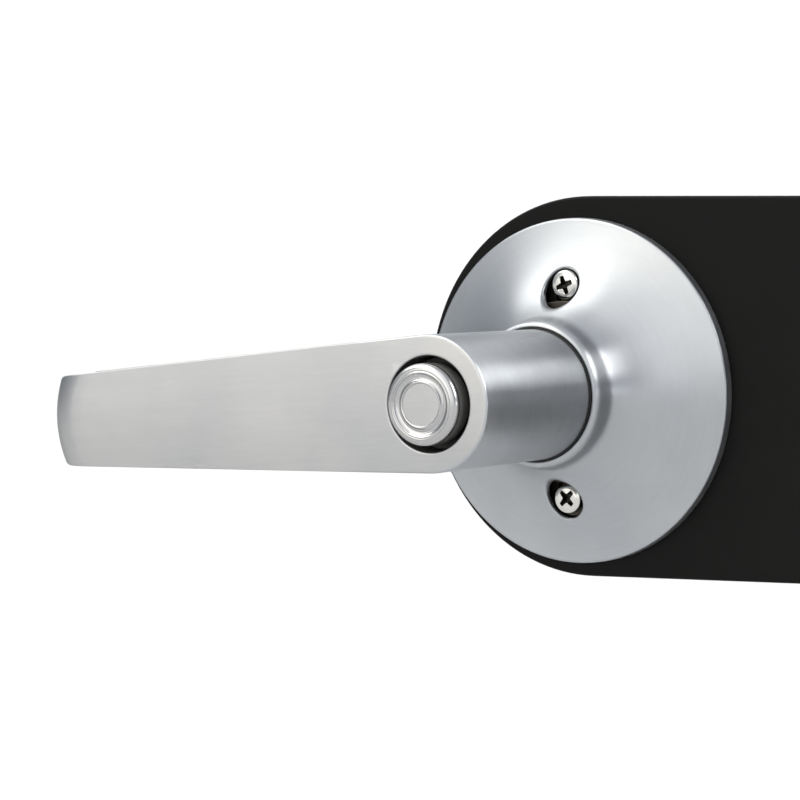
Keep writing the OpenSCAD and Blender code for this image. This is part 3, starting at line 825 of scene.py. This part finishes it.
def blade_stations():
    """Stations from the hub along the blade, round the bend, down the lip and round its end."""
    first_r, flat_count, bend_count = HUB_R - HUB_ROUND, 40, 14
    stations = []
    for centre in (END_CENTRE * (i / flat_count) ** 1.6 for i in range(flat_count + 1)):
        stations.append(Station(centre, first_r + (BEND_START - first_r) * centre / END_CENTRE))
    for turn in (radians(90 * i / bend_count) for i in range(1, bend_count + 1)):
        stations.append(Station(END_CENTRE, BEND_START + BEND_R * sin(turn), turn))
    lip_run = LIP_H - BEND_R - LIP_ROUND
    runs = [(run, 0) for run in (0.4, lip_run / 2, lip_run - 0.3, lip_run)]
    runs += [(lip_run + LIP_ROUND * sin(cap), cap) for cap in QUARTER[1:]]
    return stations + [Station(END_CENTRE, END_R, pi / 2, run, cap) for run, cap in runs]


def hub_side(skin, hub_ring, edges):
    """The hub's side away from the blade, from its face to the blade's back. Each row starts with its
    points on the upper and the lower line where the blade joins, and runs on from the lower one."""
    rows = [hub_ring[:1] + hub_ring[len(ACROSS) - 1:]]
    for inset, depth in edges[1:]:
        if depth < 0:
            inset, depth = 0, depth + BLADE_T
        r = HUB_R - inset - DRAFT * depth
        rows.append(skin.add([blade_to_frame(*polar(r, t), face_at(r, t, depth))
                              for t in [LEFT[0], LEFT[-1]] + RIGHT]))
    for a, b in zip(rows, rows[1:]):
        skin.bridge(a[1:] + a[:1], b[1:] + b[:1], NECK_KIND, closed=False)
    return rows


def fillet(t):
    """Radius of the hollow corner between the neck and the blade's back."""
    room = (HUB_R - DRAFT * BLADE_T) / sin(abs(t) + TAPER) if abs(t) > 0.3 else inf
    return min(FILLET_R, max(0.0, 0.75 * (room - neck_radius(BACK_H) - 0.02)))


def neck_side(skin, under_hub, neck_low, hole_inside):
    """The neck's outside, down to the collar, with the catch's hole. Returns its top row's blade side."""
    left_top = skin.add([blade_to_frame(*polar(neck_radius(BACK_H), t), BACK_H - fillet(t))
                         for t in LEFT[1:-1]])
    rows = [under_hub[:1] + left_top + under_hub[1:]]
    rows += [lever_ring(skin, neck_radius(h), lambda t: h)
             for h in (63, 58, 52, 46, STRIP_HIGH, STRIP_LOW, 28, 25)]
    rows.append(neck_low)
    strip = 5
    skin.bridge_all(rows[:strip + 1], NECK_KIND)
    skin.bridge_all(rows[strip + 1:], NECK_KIND)
    skin.bridge(pierce(skin, rows[strip], rows[strip + 1], neck_radius, NECK_KIND), hole_inside, NECK_KIND)
    return left_top


def hollow_corner(skin, under_hub, left_top):
    """The hollow corner from the neck out to the blade's back. Returns its last row."""
    upper, lower = under_hub[:1], under_hub[1:2]
    rows = [upper + left_top + lower]
    for s in QUARTER[1:]:
        rows.append(upper + skin.add([
            blade_to_frame(*polar(neck_radius(BACK_H) + fillet(t) * (1 - cos(s)), t),
                           BACK_H - fillet(t) * (1 - sin(s))) for t in LEFT[1:-1]]) + lower)
    skin.bridge_all(rows, FACE_KIND, closed=False)
    return rows[-1]


def blade(skin, stations, first):
    """The blade, from its first row to the lip's flat end. A row has a face, a low edge, a back and a top
    edge. Its back goes by even steps from the first row to the station at which it is free of the neck."""
    free = stations[FREE_STATION]
    half = len(free.edges) // 2

    def back_points(name, points, i):
        """Points of a part's back half, drawn towards the first row's."""
        if i >= FREE_STATION:
            return points
        start = first[name][-len(points):]
        return [tuple(p + (q - p) * (i / FREE_STATION) for p, q in zip(skin.points[n], point))
                for n, point in zip(start, points)]

    previous = first
    for i, station in enumerate(stations[1:], 1):
        source = free if i < FREE_STATION else station
        sides = {}
        for name, side in (("low", -1), ("top", 1)):
            front = [station.point(inset, depth, side) for inset, depth in station.edges[:half]]
            back = [source.point(inset, depth, side) for inset, depth in source.edges[half:]]
            sides[name] = front + back_points(name, back, i)
        back = back_points("back", [source.point(*source.edges[-1], -v) for v in ACROSS], i)
        rows = {"face": skin.add([station.point(station.front, 0, v) for v in ACROSS])}
        low = skin.add(sides["low"][1:-1])
        rows["back"] = skin.add(back)
        top = skin.add(sides["top"][1:-1])
        rows["low"] = [rows["face"][-1]] + low + [rows["back"][0]]
        rows["top"] = [rows["face"][0]] + top + [rows["back"][-1]]
        for name in ("face", "low", "back", "top"):
            skin.bridge(previous[name], rows[name], FACE_KIND, closed=False)
        previous = rows
    skin.bridge(previous["face"], previous["back"][::-1], FACE_KIND, closed=False)
    for name in ("low", "top"):
        skin.face(previous[name], FACE_KIND)


def lever():
    """Lever: neck, hub with its pocket, crowned blade and the end turned back to the door."""
    skin = Skin()
    stations = blade_stations()
    hub_ring, neck_low, hole_inside = lever_inside(skin)
    hub_rows = hub_side(skin, hub_ring, stations[0].edges)
    left_top = neck_side(skin, hub_rows[-1], neck_low, hole_inside)
    corner = hollow_corner(skin, hub_rows[-1], left_top)
    blade(skin, stations, {"face": hub_ring[:len(ACROSS)], "low": [row[1] for row in hub_rows],
                           "back": corner[::-1], "top": [row[0] for row in hub_rows]})
    finish_piece(skin, "lever_satin", "handle", ["lever"],
                 ["satin_long", "satin_neck_painted_light", "pocket", "cast_zinc"])


# ---- button
def push_button():
    """Chromed cap: satin disc inside a bead, a dished ring, two fine steps and a rounded shoulder. Its
    skirt is hollow, with a boss round the stem's end."""
    top, r = BUTTON_TOP, BUTTON_R
    skin = Skin()
    disc_r, disc_h, skirt_h, wall = 0.515 * r, top - 0.3, top - 2.1, 1.4
    boss_r, boss_h, bore_r = 5.2, 74.4, STEM_R + 0.02
    disc = skin.turn([(x, disc_h) for x in (0, 2, 4, disc_r - 0.25, disc_r - 0.05)], 1)
    beads = rounded([(disc_r - 0.05, disc_h, 0), (disc_r, disc_h, 0.04), (disc_r + 0.1, top - 0.1, 0.1),
                     (disc_r + 0.45, top - 0.02, 0.16), (0.61 * r, top - 0.55, 0.9),
                     (0.7 * r, top - 0.7, 1.2), (0.755 * r, top - 0.18, 0.25), (0.785 * r, top - 0.02, 0.15),
                     (0.815 * r, top - 0.16, 0.1), (0.845 * r, top - 0.12, 0.1), (r, top - 0.2, 1.45),
                     (r, skirt_h, 0)], 6, False)
    skirt = rounded([(r, skirt_h, 0), (r, BUTTON_BACK, 0.2), (r - wall, BUTTON_BACK, 0.2),
                     (r - wall, top - 1.7, 0.6), (boss_r, top - 1.7, 0.3), (boss_r, boss_h, 0.15),
                     (bore_r, boss_h, 0.15), (bore_r, STEM_TOP + 0.02, 0), (0, STEM_TOP + 0.02, 0)],
                    6, False)
    chromed, plain = skin.turn(beads), skin.turn(skirt, 2)
    skin.bridge(disc[-1], chromed[0], 1)
    skin.bridge(chromed[-1], plain[0], 2)
    finish_piece(skin, "push_button_chromed", "button", ["push_button"],
                 ["chrome", "chrome_disc", "skirt"], 60)


# ---- bolts and screws
def cross_depth(x, y, reach, width, depth):
    """Depth of a cross recess whose wings widen and deepen towards the middle."""
    deepest = 0.0
    for along, across in ((abs(x), abs(y)), (abs(y), abs(x))):
        run = min(max((reach - along) / reach, 0), 1)
        half = width / 2 + 0.55 * width * run * run
        side = min(max((half + 0.1 - across) / 0.2, 0), 1)
        deepest = max(deepest, depth * min(1, 1.8 * run) ** 0.6 * smooth(side))
    return deepest


def thread_points(h, tip, sides):
    """Points round a threaded shank at a height. The thread starts gently, and the tip is narrower."""
    run_in, taper, tip_share = 1.2, 0.9, 0.72
    fade, end = min(1, -h / run_in), min(1, (h - tip) / taper)
    points = []
    for k in range(sides):
        phase = (h / THREAD_PITCH + k / sides) % 1
        cut = THREAD_DEPTH * (1 - abs(2 * phase - 1))
        r = (SHANK_R + (BOLT_R - SHANK_R - cut) * fade) * (tip_share + (1 - tip_share) * end)
        points.append((*polar(r, tau * k / sides), h))
    return points


def screw(skin, x, y, head, turn, shank_top, tip, recess):
    """A screw: head of profile (radius, height) from the crown's centre out, cross recess and thread."""
    c, s = polar(1, turn)

    def row(points):
        """Adds a row of points that are given in the screw's own axes."""
        return skin.add([(x + px * c - py * s, y + px * s + py * c, h) for px, py, h in points])

    # Crown: dense rows over the recess, then the head's own rows
    reach, dense, dense_rows, steps = recess[0], recess[0] * 1.25, 34, 72
    edge = max(r for r, _ in head) - 1e-5
    rising = next(i for i, (r, _) in enumerate(head) if r >= edge)
    crown_r, crown_h = zip(*head[:rising + 1])
    radii = [dense * i / dense_rows for i in range(dense_rows + 1)]
    radii += [r for r in crown_r if r > dense + 0.02]
    rows = []
    for r in radii:
        top = np.interp(r, crown_r, crown_h)
        rows.append(row([(px, py, top - cross_depth(px, py, *recess)) for px, py in circle(r, steps=steps)]))
    rows += [row([(px, py, h) for px, py in circle(r, steps=steps)]) for r, h in head[rising + 1:]]
    before = len(skin.faces)
    skin.bridge_all(rows)
    # Faces deep in the cross recess take the second material, which is painted shade.
    for i, f in enumerate(skin.faces[before:], before):
        middle = sum(hypot(skin.points[n][0] - x, skin.points[n][1] - y) for n in f) / 4
        low = sum(skin.points[n][2] for n in f) / 4
        if middle < reach and np.interp(middle, crown_r, crown_h) - low > 0.2:
            skin.kinds[i] = 1

    # Shank: smooth through the plate, then threaded to its tip
    sides, smooth_low, per_turn = 24, 0.3, 6
    shank = [row([(px, py, h) for px, py in circle(SHANK_R, steps=sides)]) for h in (shank_top, smooth_low)]
    count = int(-tip / THREAD_PITCH * per_turn)
    shank += [row(thread_points(tip * i / count, tip, sides)) for i in range(count + 1)]
    skin.bridge_all(shank)
    for end in (shank[-1], shank[0][::-1], rows[-1]):
        skin.face(end)


def through_bolts():
    """Pan-head bolts seen down the rose's holes."""
    skin = Skin()
    _, _, (tip, cad_top) = extent("through_bolts")
    head_r, top = 3.85, cad_top + 0.8
    head = rounded([(0, top, 0), (head_r * 0.7, top - 0.1, 2), (head_r, top - 0.5, 0.55),
                    (head_r, BOLT_SEAT, 0.25), (SHANK_R, BOLT_SEAT, 0)], 6, False)
    for side, turn in ((1, 20), (-1, 45)):
        screw(skin, 0, side * BOLT_Y, head, radians(turn), BOLT_SEAT, tip, (2.4, 0.9, 2.0))
    finish_piece(skin, "through_bolts_plated", "base", ["through_bolts"],
                 ["screw", "recess"])


def plate_screws():
    """Countersunk screws at the plate's far end."""
    skin = Skin()
    (left, right), _, (tip, top) = extent("plate_screws")
    head_r, neck_h = (right - left) / 2, top - 1.9
    head = rounded([(0, top, 0), (head_r, top, 0.08), (head_r, top - 0.2, 0.08), (SHANK_R, neck_h, 0)],
                   3, False)
    for (x, y), turn in zip(plate_screw_places(), (12, 57)):
        screw(skin, x, y, head, radians(turn), neck_h, tip, (2.1, 0.85, 1.5))
    finish_piece(skin, "plate_screws_black", "base", ["plate_screws"],
                 ["black_coat", "recess"])


# ---- other pieces
def turned_piece(name, body, node, material, corners, loop=True, steps=96, place=None):
    """A piece turned from a profile with rounded corners."""
    skin = Skin()
    skin.turn(rounded(corners, 4, loop), 0, steps, loop, place)
    finish_piece(skin, name, body, [node], [material])


def washer(r_in, r_out, low, high, edge):
    """Profile of a flat ring with rounded edges."""
    return [(r_in, low, edge), (r_out, low, edge), (r_out, high, edge), (r_in, high, edge)]


def bearing_parts():
    """Bush, cover, bearing and thrust washer round the spindle."""
    bush_in, (bush_out, back, front) = NECK_R + 0.1, turned_size("neck_bush")
    turned_piece("neck_bush_nylon", "base", "neck_bush", "black_nylon",
                 [(bush_in, back, 0.1), (bush_in, front - 0.9, 0.1), (bush_in + 0.35, front - 0.95, 0.1),
                  (COLLAR_LIP_R - 0.04, front - 1.6, 0.1), (COLLAR_LIP_R + 0.26, LIP_BACK_H, 0.05),
                  (bush_out, LIP_BACK_H - 0.04, 0.05), (bush_out, back, 0.1)])
    spindle_r = turned_size("spindle")[0]
    turned_piece("cage_cover_plated", "base", "cage_cover", "plated",
                 washer(spindle_r + 0.45, *turned_size("cage_cover"), 0.2))
    bore_r, bearing_r, (flange_r, low, high) = spindle_r + 0.05, 15.2, turned_size("spindle_bearing")
    turned_piece("spindle_bearing_bronze", "base", "spindle_bearing", "bronze",
                 [(bore_r, low, 0.2), (bearing_r, low, 0.2), (bearing_r, high - 1, 0.1),
                  (flange_r, high - 1, 0.2), (flange_r, high, 0.2), (bore_r, high, 0.3)])
    turned_piece("thrust_washer_plated", "handle", "thrust_washer", "plated",
                 washer(WASHER_BORE_R, *turned_size("thrust_washer"), 0.1))


def button_parts():
    """The button's stem and the two guides that it runs in."""
    bore_r, stem_r, (guide_r, low, high) = STEM_R + 0.05, 6.1, turned_size("button_guide")
    turned_piece("button_guide_nylon", "handle", "button_guide", "black_nylon",
                 [(bore_r, low, 0.15), (stem_r, low, 0.2), (stem_r, POCKET_FLOOR, 0.15),
                  (guide_r, POCKET_FLOOR, 0.2), (guide_r, high, 0.3), (bore_r, high, 0.2)])
    thin_r, groove_r, gap = 2, 3.2, 0.05
    turned_piece("stem_guide_nylon", "handle", "stem_guide", "black_nylon",
                 washer(thin_r + gap, *turned_size("stem_guide"), 0.3))
    near, far = extent("button_clip")[2]
    turned_piece("button_stem_plated", "button", "button_stem", "plated",
                 [(0, STEM_LOW, 0), (thin_r, STEM_LOW, 0.5), (thin_r, 56, 0.5), (STEM_R, 58, 0.4),
                  (STEM_R, near - gap, 0.05), (groove_r, near - gap, 0.05), (groove_r, far + gap, 0.05),
                  (STEM_R, far + gap, 0.05), (STEM_R, STEM_TOP, 0.25), (0, STEM_TOP, 0)], loop=False)


def catch():
    """The lever's catch: a headed pin that points down through the neck's wall."""
    _, (low, high), (near, far) = extent("lever_catch")
    middle, head_r, head_t, pin_r = (near + far) / 2, (far - near) / 2, 0.9, 2.4
    turned_piece("lever_catch_plated", "catch", "lever_catch", "plated",
                 [(0, -high, 0), (head_r, -high, 0.2), (head_r, head_t - high, 0.15),
                  (pin_r, head_t - high, 0.1), (pin_r, -low, 0.45), (0, -low, 0)],
                 False, 48, lambda x, y, h: (x, -h, middle + y))


def ring_parts():
    """The two open rings, and the wavy washer in the same three waves as the CAD one."""
    for name, body, node, r_in, gap_middle, gap, edge in (
            ("cam_circlip_steel", "handle", "cam_circlip", 12.4, 270, 50, 0.12),
            ("button_clip_steel", "button", "button_clip", 3.25, 90, 70, 0.1)):
        skin = open_ring(r_in, *turned_size(node), gap_middle, gap, edge)
        finish_piece(skin, name, body, [node], ["spring"])

    wave_r, low, high = turned_size("wave_washer")
    middle, rise, thick = (low + high) / 2, (high - low) / 2 - 0.07, 0.14
    skin = Skin()
    section = rounded(washer(WASHER_BORE_R, wave_r, -thick / 2, thick / 2, 0.03), 2)
    rows = []
    steps, waves = 144, 3
    for t in (tau * i / steps for i in range(steps)):
        lift = middle + rise * sin(waves * t)
        rows.append(skin.add([(*polar(r, t), lift + h) for r, h in section]))
    skin.bridge_all(rows, loop=True)
    finish_piece(skin, "wave_washer_steel", "base", ["wave_washer"], ["spring"])


def helix(r, start, turn, low, high, count):
    """Points of a helix, evenly spaced."""
    return [(*polar(r, start + turn * i / count), low + (high - low) * i / count) for i in range(count + 1)]


def springs():
    """The button spring, which rides on no body, and the return spring with a leg at each end."""
    spring_r, low, high = turned_size("button_spring")
    wire = 0.35
    path = helix(spring_r - wire, 0, 4 * tau, low + wire, high - wire, 288)
    spring = finish_piece(coil(path, wire, 12), "button_spring_wound", None, ["button_spring"],
                          ["spring"])
    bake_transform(spring)

    _, low, high = turned_size("return_spring")
    wire, coil_r, leg = 0.75, 16.3, radians(9)
    start, turn = pi / 2 + leg, 2 * tau - 2 * leg
    path = helix(coil_r, start, turn, low + wire, high - wire, 192)
    leg_radii = (18.7, 17.9, 17.2, 16.7)
    legs_in = [(*polar(r, start), low + wire) for r in leg_radii]
    legs_out = [(*polar(r, start + turn), high - wire) for r in reversed(leg_radii)]
    finish_piece(coil(legs_in + path[3:-3] + legs_out, wire), "return_spring_wound", "base",
                 ["return_spring"], ["spring"])


def keep_cad_nodes():
    """CAD nodes whose shape is right keep it, with rounded edges and their own materials."""
    # The cast zinc nodes take the zinc that is darkened with painted shade.
    kept = {"mounting_insert": ("cast_zinc", "cast_zinc", 0.25), "spindle": ("plated_steel", "plated", 0.25),
            "driver_cam": ("cast_zinc", "cast_zinc", 0.2), "rose_clips": ("spring_steel", "spring", 0.08),
            "catch_spring": ("spring_steel", "spring", 0.08)}
    for name, (slot, material, edge) in kept.items():
        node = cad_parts[name]
        node.data.materials.clear()
        node.data.materials.append(MATERIALS[material])
        weld = node.modifiers.new("weld", "WELD")
        weld.merge_threshold = 0.003 * MM
        bevel = node.modifiers.new("bevel", "BEVEL")
        bevel.width = edge * MM
        bevel.segments = 2
        bevel.limit_method = "ANGLE"
        bevel.angle_limit = radians(40)
        bevel.use_clamp_overlap = True
        bevel.harden_normals = True


# ---- stage, light and camera
AZIMUTH = radians(33.26)
ELEVATION = radians(2.87)
ROLL = radians(-0.74)
DISTANCE = 1.6525
LENS = 282.52
TARGET = Vector((-0.05832, 0, -0.00365))
FLOOR_Z = -0.17


def camera():
    """Camera at the height and angle of the reference view."""
    back = Vector((sin(AZIMUTH) * cos(ELEVATION), -cos(AZIMUTH) * cos(ELEVATION),
                   sin(ELEVATION)))
    right = (-back).cross(Vector((0, 0, 1))).normalized()
    up = right.cross(-back)
    tilted_right = right * cos(ROLL) + up * sin(ROLL)
    tilted_up = up * cos(ROLL) - right * sin(ROLL)
    data = bpy.data.cameras.new("camera")
    data.lens = LENS
    data.sensor_width = 36
    data.clip_start = 0.05
    data.clip_end = 100
    made = bpy.data.objects.new("camera", data)
    turn = Matrix((tilted_right, tilted_up, back)).transposed().to_4x4()
    made.matrix_world = Matrix.Translation(TARGET + back * DISTANCE) @ turn
    bpy.context.scene.collection.objects.link(made)
    bpy.context.scene.camera = made


def floor():
    """Pale floor below the handle."""
    work = bmesh.new()
    bmesh.ops.create_circle(work, cap_ends=True, segments=128, radius=40)
    mesh = bpy.data.meshes.new("floor")
    work.to_mesh(mesh)
    work.free()
    graph = Graph("floor_pale")
    place = graph.node("TexCoord").outputs["Object"]
    tone = graph.noise(place, 3.0, 2.0)
    graph.set(Base_Color=graph.mix(tone, rgb(0.52), rgb(0.54)), Roughness=0.9)
    mesh.materials.append(graph.material)
    made = bpy.data.objects.new("floor", mesh)
    made.location.z = FLOOR_Z
    bpy.context.scene.collection.objects.link(made)


# Studio surroundings, painted one over the other: bearing (0 is straight out from the door, 90 is to the
# right) with its half width and softness, then low and high elevation with their softness, then radiance
SOFT_BOXES = [
    ("bounce from behind", 172, 24, 10, -90, 60, 10, (1.35, 1.36, 1.38)),
    ("backdrop", -147, 9, 4, -90, 1.6, 1, (1.05, 1.05, 1.05)),
    ("overhead key", -45, 50, 14, 31, 72, 6, (4.4, 4.34, 4.16)),
    ("front right fill", 10, 28, 12, -10, 74, 7, (1.65, 1.65, 1.65)),
    ("front left panel", -23, 14, 8, -1, 40, 5, (2.6, 2.53, 2.38)),
    ("dark gap, right front", 62, 9, 7, 10, 48, 6, (0.5, 0.5, 0.52)),
    ("dark gap, left", -90, 34, 9, -10, 16, 6, (0.5, 0.52, 0.55)),
    ("low panel, right", 116, 38, 12, -30, 4, 3, (3.4, 3.42, 3.48)),
    ("strip, right", 110, 26, 9, 18, 46, 7, (8.0, 8.0, 8.0)),
]
AMBIENT = (0.75, 0.78, 0.83)


def studio():
    """Soft studio light all round: soft boxes and dark gaps, each painted over those before it."""
    world = bpy.data.worlds.new("studio")
    bpy.context.scene.world = world
    graph = Graph(None, world)
    graph.tree.nodes.clear()
    way = graph.node("TexCoord").outputs["Generated"]
    x, y, z = graph.node("SeparateXYZ", _0=way).outputs
    degrees = 180 / pi
    elevation = graph.times(graph.math("ARCSINE", z), degrees)
    bearing = graph.times(graph.math("ARCTAN2", x, graph.times(y, -1.0)), degrees)

    def step(value, middle, soft, low, high):
        """Goes smoothly from low to high within soft on either side of middle."""
        return graph.node("MapRange", {"interpolation_type": "SMOOTHSTEP"}, Value=value,
                          From_Min=middle - soft, From_Max=middle + soft, To_Min=low, To_Max=high).outputs[0]

    def window(value, low, high, soft):
        """1 between low and high, falling off smoothly over soft on either side."""
        return graph.times(step(value, low, soft, 0.0, 1.0), step(value, high, soft, 1.0, 0.0))

    light = graph.mix(0.0, (*AMBIENT, 1), (*AMBIENT, 1))
    for _, middle, half, side_soft, low, high, soft, radiance in SOFT_BOXES:
        off = graph.math("WRAP", graph.math("SUBTRACT", bearing, middle), 180.0, -180.0)
        share = graph.times(window(off, -half, half, side_soft), window(elevation, low, high, soft))
        light = graph.mix(share, light, (*radiance, 1))
    sky = graph.node("Background", Color=light)
    out = graph.node("OutputWorld")
    graph.tree.links.new(sky.outputs[0], out.inputs[0])
    bpy.context.scene.view_settings.view_transform = "Standard"


camera()
floor()
studio()
backplate()
rose()
lever()
push_button()
through_bolts()
plate_screws()
bearing_parts()
button_parts()
catch()
ring_parts()
springs()
keep_cad_nodes()
